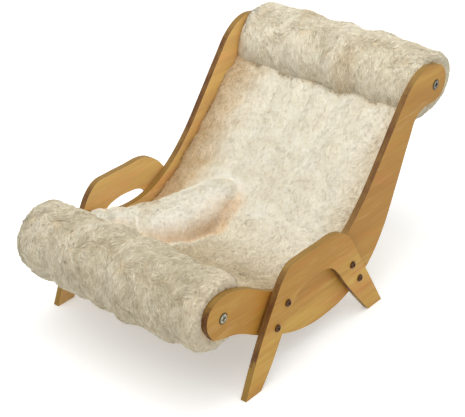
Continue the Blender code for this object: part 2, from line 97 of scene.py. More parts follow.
class Tree:
    """A material's nodes, added and joined one call at a time."""

    def __init__(self, name, roughness=0.5, metallic=0.0):
        self.material = bpy.data.materials.new(name)
        self.material.use_nodes = True
        self.nodes = self.material.node_tree.nodes
        self.links = self.material.node_tree.links
        self.shader = self.nodes["Principled BSDF"]
        self.shader.inputs["Roughness"].default_value = roughness
        self.shader.inputs["Metallic"].default_value = metallic

    def put(self, value, socket):
        if isinstance(value, bpy.types.NodeSocket):
            self.links.new(value, socket)
        else:
            socket.default_value = value

    def add(self, kind, out=0, inputs=None, **settings):
        node = self.nodes.new(kind)
        for key, value in settings.items():
            setattr(node, key, value)
        for key, value in (inputs or {}).items():
            self.put(value, node.inputs[key])
        return node.outputs[out]

    def place(self, scale=(1, 1, 1)):
        """Object coordinates, stretched."""
        where = self.add("ShaderNodeTexCoord", "Object")
        return self.add("ShaderNodeMapping", inputs={"Vector": where, "Scale": scale})

    def noise(self, scale, detail=3.0, roughness=0.5, stretch=(1, 1, 1), distortion=0.0):
        return self.add("ShaderNodeTexNoise", "Fac", {
            "Vector": self.place(stretch), "Scale": scale, "Detail": detail,
            "Roughness": roughness, "Distortion": distortion})

    def cells(self, scale):
        return self.add("ShaderNodeTexVoronoi", "Distance", {"Vector": self.place(), "Scale": scale})

    def spread(self, value, low, high, to_low=0.0, to_high=1.0):
        return self.add("ShaderNodeMapRange", inputs={
            "Value": value, "From Min": low, "From Max": high, "To Min": to_low, "To Max": to_high})

    def math(self, operation, first, second=0.0):
        return self.add("ShaderNodeMath", inputs={0: first, 1: second}, operation=operation)

    def mix(self, share, first, second, blend="MIX"):
        node = self.nodes.new("ShaderNodeMix")
        node.data_type = "RGBA"
        node.blend_type = blend
        self.put(share, node.inputs[0])
        self.put(first, node.inputs[6])
        self.put(second, node.inputs[7])
        return node.outputs[2]

    def ramp(self, value, stops):
        node = self.nodes.new("ShaderNodeValToRGB")
        self.put(value, node.inputs[0])
        band = node.color_ramp
        while len(band.elements) < len(stops):
            band.elements.new(0.5)
        for element, (position, colour) in zip(band.elements, stops):
            element.position = position
            element.color = colour
        return node.outputs[0]

    def attribute(self, name):
        return self.add("ShaderNodeAttribute", "Fac", attribute_name=name)

    def colour(self, value):
        self.put(value, self.shader.inputs["Base Color"])

    def rough(self, value):
        self.put(value, self.shader.inputs["Roughness"])

    def bump(self, height, distance, strength):
        inputs = {"Height": height, "Distance": distance, "Strength": strength}
        self.put(self.add("ShaderNodeBump", inputs=inputs), self.shader.inputs["Normal"])


# Materials

def plywood(name, light, pale=0.0):
    """Sanded birch, its grain along the sofa's length. Its laser-cut edge shows brown scorched plies,
    painted lighter olive where it faces up and near the floor, as painted light.
    """
    tree = Tree(name)
    normal = tree.add("ShaderNodeNewGeometry", "True Normal")
    across = tree.math("ABSOLUTE", tree.add("ShaderNodeSeparateXYZ", "X", {"Vector": normal}))
    is_edge = tree.math("LESS_THAN", across, 0.75)

    # light scales the colour and pale mixes it toward white: painted light, for lit and shaded copies of the
    # plywood.
    def shade(red, green, blue):
        return srgb(*(light * level + pale * (255 - level) for level in (red, green, blue)))

    broad = tree.noise(9.0, 3.0, 0.55, stretch=(1.0, 0.16, 1.0), distortion=0.6)
    streaks = tree.noise(60.0, 4.0, 0.6, stretch=(1.0, 0.07, 1.0), distortion=0.4)
    flecks = tree.noise(26.0, 4.0, 0.6, stretch=(1.0, 0.22, 1.0), distortion=0.8)
    fibres = tree.noise(420.0, 2.0, 0.6, stretch=(1.0, 0.03, 1.0))
    glints = tree.noise(95.0, 4.0, 0.6, stretch=(1.0, 0.13, 1.0), distortion=1.2)
    base = tree.ramp(broad, (
        (0.30, shade(192, 138, 44)),
        (0.52, shade(208, 157, 58)),
        (0.72, shade(226, 181, 80)),
    ))
    streaked = tree.mix(tree.spread(streaks, 0.42, 0.66, 0.0, 0.5), base, shade(188, 126, 54))
    warm = tree.mix(tree.spread(flecks, 0.54, 0.70, 0.0, 0.65), streaked, shade(216, 138, 56))
    glinting = tree.mix(tree.spread(glints, 0.54, 0.70, 0.0, 0.30), warm, shade(236, 200, 128))
    face = tree.mix(tree.spread(fibres, 0.35, 0.75, 0.0, 0.25), glinting, shade(168, 110, 48))

    depth = tree.add("ShaderNodeSeparateXYZ", "X", {"Vector": tree.place()})
    plies = tree.math("SINE", tree.math("MULTIPLY", depth, 2 * math.pi / PLY_PITCH))
    burn = tree.noise(38.0, 4.0, 0.6, stretch=(3.0, 1.0, 1.0))
    tone = tree.mix(tree.spread(plies, -0.4, 0.5), srgb(112, 76, 32), srgb(150, 114, 54))
    scorched = tree.mix(tree.spread(burn, 0.38, 0.62, 0.2, 0.85), tone, srgb(88, 48, 18))
    # Edges that face up, and the lowest edges, are painted lighter olive as painted light; elsewhere the
    # edge stays dark scorched brown.
    upward = tree.add("ShaderNodeSeparateXYZ", "Z", {"Vector": normal})
    height = tree.add("ShaderNodeSeparateXYZ", "Z", {"Vector": tree.place()})
    lowest = tree.spread(tree.math("ADD", height, tree.spread(burn, 0.3, 0.7, -0.01, 0.01)), 0.052, 0.046)
    painted_lit_edge = tree.math("MAXIMUM", tree.spread(upward, 0.6, 0.9, 0.0, 0.5), tree.math("MULTIPLY", lowest, 0.7))
    edge = tree.mix(painted_lit_edge, scorched, srgb(166, 132, 58))

    tree.colour(tree.mix(is_edge, face, edge))
    tree.shader.inputs["Specular IOR Level"].default_value = 0.3
    tree.rough(tree.spread(streaks, 0.3, 0.7, 0.5, 0.62))
    tree.shader.inputs["Coat Weight"].default_value = 0.06
    tree.shader.inputs["Coat Roughness"].default_value = 0.3
    tree.bump(fibres, 0.0002, 0.5)
    return tree.material


def pile_tone(tree):
    """Cream to tan, and peach, by two values kept on the mesh, which carry painted shade as well as the
    pile's own tone.
    """
    cream = tree.ramp(tree.attribute("tone_and_shade"), (
        (0.0, srgb(196, 183, 152)),
        (0.25, srgb(222, 212, 185)),
        (0.45, srgb(241, 233, 209)),
        (0.65, srgb(250, 245, 226)),
        (1.0, srgb(254, 251, 241)),
    ))
    return tree.mix(tree.attribute("peach_tone_and_shade"), cream, srgb(248, 208, 164), "MULTIPLY")


def pile(name):
    """Plush strands, darker at their roots."""
    tree = Tree(name, 0.85)
    tone = pile_tone(tree)
    root = tree.mix(0.55, tone, srgb(236, 206, 164), "MULTIPLY")
    tree.colour(tree.mix(tree.spread(tree.attribute("along"), 0.0, 0.6), root, tone))
    tree.shader.inputs["Specular IOR Level"].default_value = 0.2
    return tree.material


def pile_ground():
    """The knitted ground that the pile grows from, seen only between the strands."""
    tree = Tree("pile_ground", 0.95)
    fuzz = tree.noise(700.0, 3.0, 0.6)
    worn = tree.spread(fuzz, 0.3, 0.7, 0.3, 0.9)
    tree.colour(tree.mix(worn, pile_tone(tree), srgb(236, 222, 198), "MULTIPLY"))
    tree.shader.inputs["Sheen Weight"].default_value = 0.3
    tree.bump(fuzz, 0.0012, 0.8)
    return tree.material


def woven(name, light, dark, pitch):
    """Plain weave of two crossing threads."""
    tree = Tree(name, 0.9)
    parts = tree.nodes.new("ShaderNodeSeparateXYZ")
    tree.put(tree.place(), parts.inputs[0])
    across = tree.math("SINE", tree.math("MULTIPLY", parts.outputs["X"], 2 * math.pi / pitch))
    reach = tree.math("ADD", parts.outputs["Y"], parts.outputs["Z"])
    along = tree.math("SINE", tree.math("MULTIPLY", reach, 2 * math.pi / pitch))
    weave = tree.math("MULTIPLY", across, along)
    slub = tree.noise(45.0, 3.0, 0.6, stretch=(1.0, 4.0, 4.0))
    tone = tree.mix(tree.spread(weave, -1.0, 1.0), dark, light)
    tree.colour(tree.mix(tree.spread(slub, 0.4, 0.8, 0.0, 0.35), tone, dark))
    tree.shader.inputs["Sheen Weight"].default_value = 0.2
    tree.bump(weave, 0.0003, 0.7)
    return tree.material


def bare_metal(name, colour, roughness, worn, axis=None):
    """Plated steel. A bolt head, whose axis is given as (y, z), has a dark rim painted in as the shade of
    its recess.
    """
    tree = Tree(name, roughness, 1.0)
    scratch = tree.noise(900.0, 2.0, 0.6, stretch=(1.0, 1.0, 0.08))
    cloud = tree.noise(300.0, 2.0, 0.5)
    plate = tree.mix(tree.spread(cloud, 0.35, 0.7, 0.0, 0.5), colour, worn)
    if axis is not None:
        from_axis = tree.add("ShaderNodeVectorMath", "Value", {
            0: tree.place((0.0, 1.0, 1.0)), 1: (0.0, *axis)}, operation="DISTANCE")
        # Painted shade of the recess round the head.
        rim = tree.math("ADD", from_axis, tree.spread(cloud, 0.3, 0.7, -0.0004, 0.0004))
        plate = tree.mix(tree.spread(rim, RIM_START, RIM_END, 0.0, 0.9), plate, srgb(84, 74, 44))
    tree.colour(plate)
    tree.rough(tree.spread(scratch, 0.3, 0.7, roughness * 0.8, roughness * 1.4))
    tree.bump(scratch, 0.00005, 0.4)
    return tree.material


def coated_metal():
    tree = Tree("bronze_coat", 0.36, 0.85)
    cloud = tree.noise(500.0, 3.0, 0.6)
    tree.colour(tree.mix(tree.spread(cloud, 0.4, 0.75), srgb(70, 46, 30), srgb(112, 78, 50)))
    tree.rough(tree.spread(cloud, 0.3, 0.7, 0.3, 0.45))
    tree.bump(cloud, 0.00006, 0.5)
    return tree.material


def moulded():
    tree = Tree("moulded_nylon", 0.45)
    grain = tree.noise(900.0, 2.0, 0.5)
    tree.colour(tree.mix(tree.spread(grain, 0.3, 0.7), srgb(222, 216, 202), srgb(236, 232, 220)))
    tree.bump(grain, 0.00004, 0.5)
    return tree.material


def turned_wood():
    tree = Tree("turned_wood", 0.6)
    grain = tree.noise(120.0, 4.0, 0.6, stretch=(0.05, 1.0, 1.0))
    tree.colour(tree.ramp(grain, ((0.3, srgb(200, 164, 112)), (0.7, srgb(226, 198, 152)))))
    tree.bump(grain, 0.0003, 0.5)
    return tree.material


def open_foam():
    tree = Tree("open_foam", 0.95)
    pores = tree.cells(700.0)
    tree.colour(tree.mix(tree.spread(pores, 0.1, 0.5), srgb(206, 196, 160), srgb(240, 232, 202)))
    tree.bump(pores, 0.0006, 0.8)
    return tree.material


# Mesh helpers

def link(piece):
    bpy.context.scene.collection.objects.link(piece)
    return piece


def places_of(mesh):
    places = np.empty(len(mesh.vertices) * 3, np.float32)
    mesh.vertices.foreach_get("co", places)
    return places.reshape(-1, 3).astype(float)


def normals_of(mesh):
    normals = np.empty(len(mesh.vertices) * 3, np.float32)
    mesh.vertices.foreach_get("normal", normals)
    return normals.reshape(-1, 3).astype(float)


def surface_tree(mesh):
    """The mesh's faces, to be searched for the nearest place or along a ray."""
    return BVHTree.FromPolygons([v.co for v in mesh.vertices], [p.vertices for p in mesh.polygons])


def set_places(mesh, places):
    mesh.vertices.foreach_set("co", places.astype(np.float32).ravel())
    mesh.update()


def baked_down(piece):
    """The piece's mesh with its modifiers applied."""
    graph = bpy.context.evaluated_depsgraph_get()
    mesh = bpy.data.meshes.new_from_object(piece.evaluated_get(graph))
    old = piece.data
    piece.modifiers.clear()
    piece.data = mesh
    bpy.data.meshes.remove(old)
    return piece


def unit(vectors):
    return vectors / np.maximum(np.linalg.norm(vectors, axis=1, keepdims=True), 1e-12)


def waves(points, length, seed, parts=12):
    """A smooth random value from about -1 to 1 at each point, with swells about that length apart."""
    rng = np.random.default_rng(seed)
    ways = unit(rng.normal(size=(parts, 3)))
    turns = 2 * math.pi / length * rng.uniform(0.6, 1.5, (parts, 1)) * ways
    return np.sin(points @ turns.T + rng.uniform(0, 2 * math.pi, parts)).sum(1) / math.sqrt(parts)


def smooth_step(value, low, high):
    share = np.clip((value - low) / (high - low), 0.0, 1.0)
    return share * share * (3 - 2 * share)


def balls(points, radii):
    """One mesh of many overlapping balls, to be melted into one form by a voxel remesh."""
    form = bmesh.new()
    for point, radius in zip(points, radii):
        bmesh.ops.create_icosphere(form, subdivisions=3, radius=radius, matrix=Matrix.Translation(point))
    return form


def soft_copy(node, name, added=None):
    """An evenly meshed copy of a CAD solid, to be made soft, with any added form melted into it."""
    piece = link(bpy.data.objects.new(name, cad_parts[node].data.copy()))
    piece.data.materials.clear()
    if added is not None:
        added.from_mesh(piece.data)
        added.to_mesh(piece.data)
        added.free()
    even = piece.modifiers.new("even", "REMESH")
    even.mode = "VOXEL"
    even.voxel_size = VOXEL
    even.use_smooth_shade = True
    return baked_down(piece)


def puff(piece):
    """Blows the piece up a little as cloth under pressure, then keeps the shape."""
    scene = bpy.context.scene
    rest = places_of(piece.data)
    cloth = piece.modifiers.new("puff", "CLOTH")
    cloth.settings.use_pressure = True
    cloth.settings.uniform_pressure_force = PUFF_PRESSURE
    cloth.settings.effector_weights.gravity = 0.0
    cloth.point_cache.frame_start = 1
    cloth.point_cache.frame_end = PUFF_FRAMES
    for count in range(1, PUFF_FRAMES + 1):
        scene.frame_set(count)
    graph = bpy.context.evaluated_depsgraph_get()
    shown = piece.evaluated_get(graph)
    moved = places_of(shown.to_mesh()) - rest
    shown.to_mesh_clear()
    piece.modifiers.remove(cloth)
    scene.frame_set(1)
    reach = np.linalg.norm(moved, axis=1, keepdims=True)
    set_places(piece.data, rest + moved * np.minimum(1.0, PUFF_CAP / np.maximum(reach, 1e-9)))


def sculpt(piece, rise):
    """Moves each vertex along its normal by what rise(places, normals) gives."""
    places, normals = places_of(piece.data), normals_of(piece.data)
    places = places + normals * rise(places, normals)[:, None]
    places[:, 0] = np.clip(places[:, 0], -STRAND_LIMIT, STRAND_LIMIT)
    set_places(piece.data, places)


def finer(piece):
    """Splits each face in four and rounds the form."""
    step = piece.modifiers.new("finer", "SUBSURF")
    step.levels = 1
    step.render_levels = 1
    return baked_down(piece)


def set_values(mesh, key, values):
    """Keeps one number per vertex in the mesh, for its material to read."""
    mesh.attributes.new(key, "FLOAT", "POINT").data.foreach_set("value", values.astype(np.float32))


def toned_and_shaded(piece, tone_and_shade):
    """Gives the ground under the pile the pile's colours, painted shade included."""
    tone, peach_tone_and_shade = tone_and_shade(places_of(piece.data), normals_of(piece.data))
    set_values(piece.data, "tone_and_shade", np.clip(tone, 0, 1))
    set_values(piece.data, "peach_tone_and_shade", np.clip(peach_tone_and_shade, 0, 1))


# Fur

def scatter(mesh, count, rng, keep):
    """Places and normals spread over the mesh, as thick as keep(places, normals) says."""
    mesh.calc_loop_triangles()
    corners = np.empty(len(mesh.loop_triangles) * 3, np.int32)
    mesh.loop_triangles.foreach_get("vertices", corners)
    corners = corners.reshape(-1, 3)
    places, normals = places_of(mesh), normals_of(mesh)
    a, b, c = (places[corners[:, k]] for k in range(3))
    cross = np.cross(b - a, c - a)
    weight = np.linalg.norm(cross, axis=1) * keep((a + b + c) / 3, unit(cross))
    chosen = rng.choice(len(weight), count, p=weight / weight.sum())
    near = np.sqrt(rng.random(count))
    along = rng.random(count)
    shares = np.stack((1 - near, near * (1 - along), near * along), 1)[:, :, None]
    picked = corners[chosen]
    return (places[picked] * shares).sum(1), unit((normals[picked] * shares).sum(1))


def combed(roots, normals, flow, swirl, swirl_length, seed):
    """The way that the pile lies at each root."""
    way = flow(roots, normals)
    way = unit(way - normals * (way * normals).sum(1, keepdims=True))
    turn = swirl * waves(roots, swirl_length, seed)[:, None]
    return way * np.cos(turn) + np.cross(normals, way) * np.sin(turn)


def laid_on(host_tree, points):
    """Each point's nearest place on the host, and the host's normal there."""
    found = [host_tree.find_nearest(point) for point in points]
    return np.array([hit[0] for hit in found]), np.array([hit[1] for hit in found])


RAILS = {}
for rail_sign, rail_node in ((1, "left_rail"), (-1, "right_rail")):
    RAILS[rail_sign] = surface_tree(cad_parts[rail_node].data)


def kept_beside_rails(points):
    """Moves points that are past a rail's inner face back to it, unless they clear the rail's outline."""
    for index in np.nonzero(np.abs(points[:, 0]) > STRAND_LIMIT)[0]:
        sign = 1 if points[index, 0] > 0 else -1
        start = Vector((sign * 0.3, points[index, 1], points[index, 2]))
        near = RAILS[sign].find_nearest(Vector((sign * (RAIL_INNER + 0.0045), start.y, start.z)))[3]
        if near < 0.0015 or RAILS[sign].ray_cast(start, Vector((-sign, 0, 0)))[0] is not None:
            points[index, 0] = sign * (STRAND_LIMIT + 0.0004)


def strand_paths(host_tree, roots, normals, ways, length, lift, curl):
    """Root, middle and tip of each strand. The middle stands off the host, the tip by curl times that."""
    rise = 0.5 * length * np.sin(lift)
    base = roots - normals * 0.0008
    middle, middle_up = laid_on(host_tree, roots + ways * (0.5 * length * np.cos(lift))[:, None])
    tip, tip_up = laid_on(host_tree, roots + ways * (length * np.cos(lift))[:, None])
    return base, middle + middle_up * rise[:, None], tip + tip_up * (rise * curl)[:, None]


def fur(name, host, count, seed, keep, flow, tone_and_shade, length=0.013, width=0.0005, lift=0.42,
        clump=0.006, pull=0.5, swirl=0.7, swirl_length=0.06, guard=0.12, streaks=0.07):
    """One piece of pile: closed three-sided strands on the host's surface, drawn together in tufts."""
    rng = np.random.default_rng(seed)
    host_tree = surface_tree(host.data)
    roots, normals = scatter(host.data, count, rng, keep)
    tufts, tuft_normals = scatter(host.data, max(8, int(count * (width / clump) ** 2 * 18)), rng, keep)
    tree = kdtree.KDTree(len(tufts))
    for index, place in enumerate(tufts):
        tree.insert(place, index)
    tree.balance()
    mine = np.array([tree.find(root)[1] for root in roots])

    tuft_turn = rng.normal(0, 0.25, len(tufts))
    tuft_length = length * rng.uniform(0.75, 1.2, len(tufts))
    tuft_lift = lift * rng.uniform(0.75, 1.25, len(tufts))
    tuft_way = combed(tufts, tuft_normals, flow, swirl, swirl_length, seed)
    side = np.cross(tuft_normals, tuft_way)
    tuft_way = tuft_way * np.cos(tuft_turn)[:, None] + side * np.sin(tuft_turn)[:, None]

    way = combed(roots, normals, flow, swirl, swirl_length, seed)
    way = unit(way + 0.8 * tuft_way[mine] + rng.normal(0, 0.2, roots.shape))
    way = unit(way - normals * (way * normals).sum(1, keepdims=True))
    mine_length = tuft_length[mine] * rng.uniform(0.75, 1.1, count)
    mine_lift = tuft_lift[mine] * rng.uniform(0.6, 1.3, count)
    stands = rng.random(count) < guard
    curl = np.where(stands, 1.2, rng.uniform(0.0, 0.3, count))
    base, middle, tip = strand_paths(host_tree, roots, normals, way, mine_length, mine_lift, curl)
    _, tuft_middle, tuft_tip = strand_paths(
        host_tree, tufts, tuft_normals, tuft_way, tuft_length, tuft_lift, np.full(len(tufts), 0.4))
    middle = middle + 0.35 * pull * (tuft_middle[mine] - middle)
    tip = tip + pull * (tuft_tip[mine] - tip)
    for line in (base, middle, tip):
        line[:, 0] = np.clip(line[:, 0], -OVERHANG_LIMIT, OVERHANG_LIMIT)

    side = unit(np.cross(way, normals))
    section = ((-0.1, 1.0), (0.8, 0.0), (-0.1, -1.0))
    rings = []
    outs = []
    for centre, ahead, radius in ((base, middle - base, width), (middle, tip - base, width * 0.8)):
        up = unit(np.cross(side, unit(ahead)))
        for rise, across in section:
            out = up * rise + side * across
            rings.append(centre + out * radius)
            outs.append(out)
    corners = np.stack(rings + [tip], 1).reshape(-1, 3)
    kept_beside_rails(corners)
    leaning = [unit(0.25 * out + 0.9 * normals) for out in outs]
    shading = np.stack(leaning + [unit(normals + 0.15 * way)], 1)

    quads = [(1, 0, 3, 4), (2, 1, 4, 5), (0, 2, 5, 3)]
    points = [(4, 3, 6), (5, 4, 6), (3, 5, 6), (0, 1, 2)]
    starts = (np.arange(count) * STRAND_POINTS)[:, None]
    loops = (starts + np.array([v for face in quads + points for v in face])).ravel()
    sizes = np.tile([4] * 3 + [3] * 4, count)
    mesh = bpy.data.meshes.new(name)
    mesh.vertices.add(count * STRAND_POINTS)
    mesh.vertices.foreach_set("co", corners.astype(np.float32).ravel())
    mesh.loops.add(len(loops))
    mesh.loops.foreach_set("vertex_index", loops.astype(np.int32))
    mesh.polygons.add(len(sizes))
    mesh.polygons.foreach_set("loop_start", np.concatenate(([0], np.cumsum(sizes)[:-1])).astype(np.int32))
    mesh.update(calc_edges=True)
    mesh.shade_smooth()
    mesh.normals_split_custom_set_from_vertices(shading.reshape(-1, 3))
    # The pile's tone with its painted shade, plus random streaks per strand and per tuft.
    tone, peach_tone_and_shade = tone_and_shade(roots, normals)
    tone = tone + rng.normal(0, streaks, count) + rng.normal(0, streaks, len(tufts))[mine]
    peach_tone_and_shade = peach_tone_and_shade * rng.uniform(0.6, 1.4, count)
    set_values(mesh, "tone_and_shade", np.repeat(np.clip(tone, 0, 1), STRAND_POINTS))
    set_values(mesh, "peach_tone_and_shade", np.repeat(np.clip(peach_tone_and_shade, 0, 1), STRAND_POINTS))
    set_values(mesh, "along", np.tile([0, 0, 0, 0.55, 0.55, 0.55, 1.0], count))
    piece = link(bpy.data.objects.new(name, mesh))
    mesh.materials.append(PILE)
    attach(piece, "root")


# The near left panels get a darker, shaded copy of the plywood and the far right panels a paler, lit copy:
# painted light and shade.
PLYWOOD = {"left": plywood("plywood_shaded_left", 0.915), "right": plywood("plywood_lit_right", 1.07, 0.28)}
PILE = pile("plush_pile")
GROUND = pile_ground()
LINING = woven("lining_weave", srgb(224, 216, 196), srgb(196, 184, 156), LINING_PITCH)
ZINC = bare_metal("zinc_steel", srgb(190, 187, 178), 0.28, srgb(150, 146, 132))
# The top bolt is a darker, shaded copy of the front bolt's metal: painted shade.
BAR_BOLT_METAL = {
    "front": bare_metal("bolt_metal_lit_front", srgb(168, 164, 148), 0.24, srgb(112, 106, 84), FRONT_BOLT),
    "top": bare_metal("bolt_metal_shaded_top", srgb(128, 124, 114), 0.20, srgb(70, 66, 56), TOP_BOLT),
}
THREAD = woven("seam_thread", srgb(208, 180, 136), srgb(186, 154, 110), THREAD_PITCH)
BRONZE = coated_metal()
NYLON = moulded()
DOWEL = turned_wood()
FOAM = open_foam()


def dress(node, material):
    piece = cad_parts[node]
    piece.data.materials.clear()
    piece.data.materials.append(material)


for side_name in ("left", "right"):
    for panel in ("rail", "arm"):
        dress(f"{side_name}_{panel}", PLYWOOD[side_name])
    for number in range(1, 5):
        dress(f"{side_name}_arm_bolt_{number}", BRONZE)
        dress(f"{side_name}_spacer_{number}", NYLON)
        dress(f"{side_name}_tee_nut_{number}", ZINC)
    for end in ("front", "top"):
        dress(f"{side_name}_{end}_insert", ZINC)
        dress(f"{side_name}_{end}_bar_bolt", BAR_BOLT_METAL[end])
dress("front_bar", DOWEL)
dress("top_bar", DOWEL)


# Soft pieces

def roll_rise(seed, axis, bulge):
    """Bands and lumps, ends that fill out and then round in, and a bulge over the seam with the seat."""
    def rise(places, normals):
        inside = 1 - smooth_step(np.abs(places[:, 0]), 0.135, 0.153)
        rounded = smooth_step(np.abs(places[:, 0]), 0.146, 0.1535)
        towards_seam = np.clip(unit((places - axis) * (0.0, 1.0, 1.0)) @ SEAM_WAY, 0.0, 1.0) ** 6
        bands = 0.0026 * waves(places * (1.0, 0.30, 0.30), 0.046, seed)
        lumps = 0.0014 * waves(places, 0.030, seed + 1) + 0.0006 * waves(places, 0.013, seed + 2)
        facing_out = 1 - np.abs(normals[:, 0]) ** 4
        ends = 0.0035 * (1 - inside) - 0.0050 * rounded
        return facing_out * (0.0030 + (0.35 + 0.65 * inside) * (bands + lumps) + ends + bulge * towards_seam)
    return rise


def soft_core(node, name):
    """The foam in a roll, cut a little rounder at its ends."""
    piece = soft_copy(node, name)
    places = places_of(piece.data)
    end = smooth_step(np.abs(places[:, 0]), 0.146, 0.155)
    places[:, 0] *= 1 - 0.008 * end
    set_places(piece.data, places)
    piece.data.materials.append(FOAM)
    piece.data.shade_smooth()
    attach(piece, "root")
    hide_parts(node)


def soft_roll(node, core_node, name, seed, axis, bulge):
    """A sleeve melted into its core's ends, so that the pile has something to lie on there too."""
    core = bmesh.new()
    core.from_mesh(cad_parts[core_node].data)
    piece = soft_copy(node, name, core)
    puff(piece)
    sculpt(piece, roll_rise(seed, axis, bulge))
    finer(piece)
    piece.data.materials.append(GROUND)
    piece.data.shade_smooth()
    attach(piece, "root")
    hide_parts(node)
    return piece


def around(axis, outward=0.0):
    """Pile laid round a roll from a parting near its crest: back over the crest, and down the front."""
    def flow(places, normals):
        spoke = places - axis
        spoke[:, 0] = 0.0
        spoke = unit(spoke)
        tangent = np.cross(np.tile((1.0, 0.0, 0.0), (len(places), 1)), spoke)
        parting = spoke @ PARTING + 0.25 * waves(places, 0.05, 37)
        behind = smooth_step(parting, -0.25, 0.25)
        way = tangent * (1 - 2 * behind)[:, None]
        way[:, 0] += 0.25 + outward * np.sign(places[:, 0])
        on_end = (np.abs(normals[:, 0]) > 0.7)[:, None]
        return unit(np.where(on_end, spoke + 0.4 * tangent, way))
    return flow


def roll_keep(places, normals):
    return (np.abs(places[:, 0]) < 0.1535) & (np.abs(normals[:, 0]) < 0.8)


def end_keep(axis):
    def keep(places, normals):
        from_axis = np.linalg.norm((places - axis)[:, 1:], axis=1)
        return smooth_step(np.abs(places[:, 0]), 0.143, 0.150) * (from_axis > 0.029)
    return keep


def outward_flow(places, normals):
    """Pile that spreads sideways onto the rail."""
    way = np.zeros_like(places)
    way[:, 0] = np.sign(places[:, 0])
    return way


# Front roll: darker towards the near side, and lighter with a painted pinkish shade at the near end by the
# rail.
def front_tone_and_shade(places, normals):
    near_end = smooth_step(places[:, 0], 0.12, 0.152)
    tone = 0.26 - 0.35 * places[:, 0] + 0.06 * waves(places * (1.0, 0.4, 0.4), 0.06, 31) + 0.18 * near_end
    return tone, 0.03 + 0.14 * near_end


# Top roll: darker towards the near side, with random tan patches, and a painted tan and peach shade along
# the seam with the seat.
def top_tone_and_shade(places, normals):
    patches = smooth_step(waves(places * (1.0, 0.5, 0.5), 0.075, 47), 0.3, 1.1)
    off_seam = 1 - unit((places - TOP_AXIS) * (0.0, 1.0, 1.0)) @ STITCH_WAY
    at_seam = np.exp(-off_seam / 0.004)
    tone = 0.37 - 0.50 * places[:, 0] + 0.06 * waves(places * (1.0, 0.4, 0.4), 0.06, 43) - 0.12 * patches
    return tone - 0.12 * at_seam, 0.02 + 0.14 * patches + 0.28 * at_seam


soft_core("front_foam", "front_core")
soft_core("top_foam", "top_core")
front_roll = soft_roll("front_sleeve", "front_foam", "front_roll", 11, FRONT_AXIS, 0.0)
top_roll = soft_roll("top_sleeve", "top_foam", "top_roll", 17, TOP_AXIS, 0.0095)

toned_and_shaded(front_roll, front_tone_and_shade)
toned_and_shaded(top_roll, top_tone_and_shade)

ROLLS = (
    (front_roll, "front", FRONT_AXIS, front_tone_and_shade, 101),
    (top_roll, "top", TOP_AXIS, top_tone_and_shade, 111),
)
for part in range(4):
    for roll, roll_name, axis, roll_tone_and_shade, seed in ROLLS:
        fur(f"{roll_name}_roll_pile_{part + 1}", roll, PILE_COUNT, seed + part, roll_keep, around(axis),
            roll_tone_and_shade, length=0.016, width=0.00042, lift=0.28, clump=0.0070, pull=0.5, swirl=0.5,
            swirl_length=0.07, guard=0.05, streaks=0.085)
for roll, roll_name, axis, roll_tone_and_shade, _ in ROLLS:
    fur(f"{roll_name}_roll_fringe", roll, FRINGE_COUNT, 141, end_keep(axis), around(axis, 0.35),
        roll_tone_and_shade, length=0.014, lift=0.26, guard=0.03, clump=0.006)


# The loose fold in the seat: x and y along its middle, its radius, and the middle's height over the pad
FOLD_SPINE = (
    (-0.136, -0.140, 0.015, 0.012),
    (-0.142, -0.108, 0.017, 0.011),
    (-0.136, -0.092, 0.018, 0.006),
    (-0.117, -0.087, 0.022, 0.004),
    (-0.088, -0.075, 0.036, 0.001),
    (-0.079, -0.043, 0.042, 0.000),
    (-0.070, -0.013, 0.040, 0.000),
    (-0.062, 0.012, 0.032, 0.001),
    (-0.054, 0.028, 0.022, 0.002),
)
FOLD_STEPS = 8

# Where the pad is plain, beside the fold
PLAIN_X = 0.10


def fold_places():
    """Points and radii along the fold's middle line, which lies on the pad as it is beside the fold."""
    pad_tree = surface_tree(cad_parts["seat_pad"].data)
    points = []
    radii = []
    for start, end in zip(FOLD_SPINE, FOLD_SPINE[1:]):
        for step in range(FOLD_STEPS):
            share = step / FOLD_STEPS
            x, y, radius, lift = (a + share * (b - a) for a, b in zip(start, end))
            under = pad_tree.ray_cast(Vector((PLAIN_X, y, 1.0)), Vector((0, 0, -1)))[0]
            points.append(Vector((x, y, under.z + lift)))
            radii.append(radius)
    return points, radii


FOLD_POINTS, FOLD_RADII = fold_places()
FOLD_TREE = kdtree.KDTree(len(FOLD_POINTS))
for index, point in enumerate(FOLD_POINTS):
    FOLD_TREE.insert(point, index)
FOLD_TREE.balance()


def about_fold(places):
    """How far each place is from the fold's skin, and its height over the fold's middle in radii."""
    found = [FOLD_TREE.find(place) for place in places]
    radii = np.array([FOLD_RADII[hit[1]] for hit in found])
    away = np.array([hit[2] for hit in found]) - radii
    height = (places[:, 2] - np.array([hit[0].z for hit in found])) / radii
    return away, height


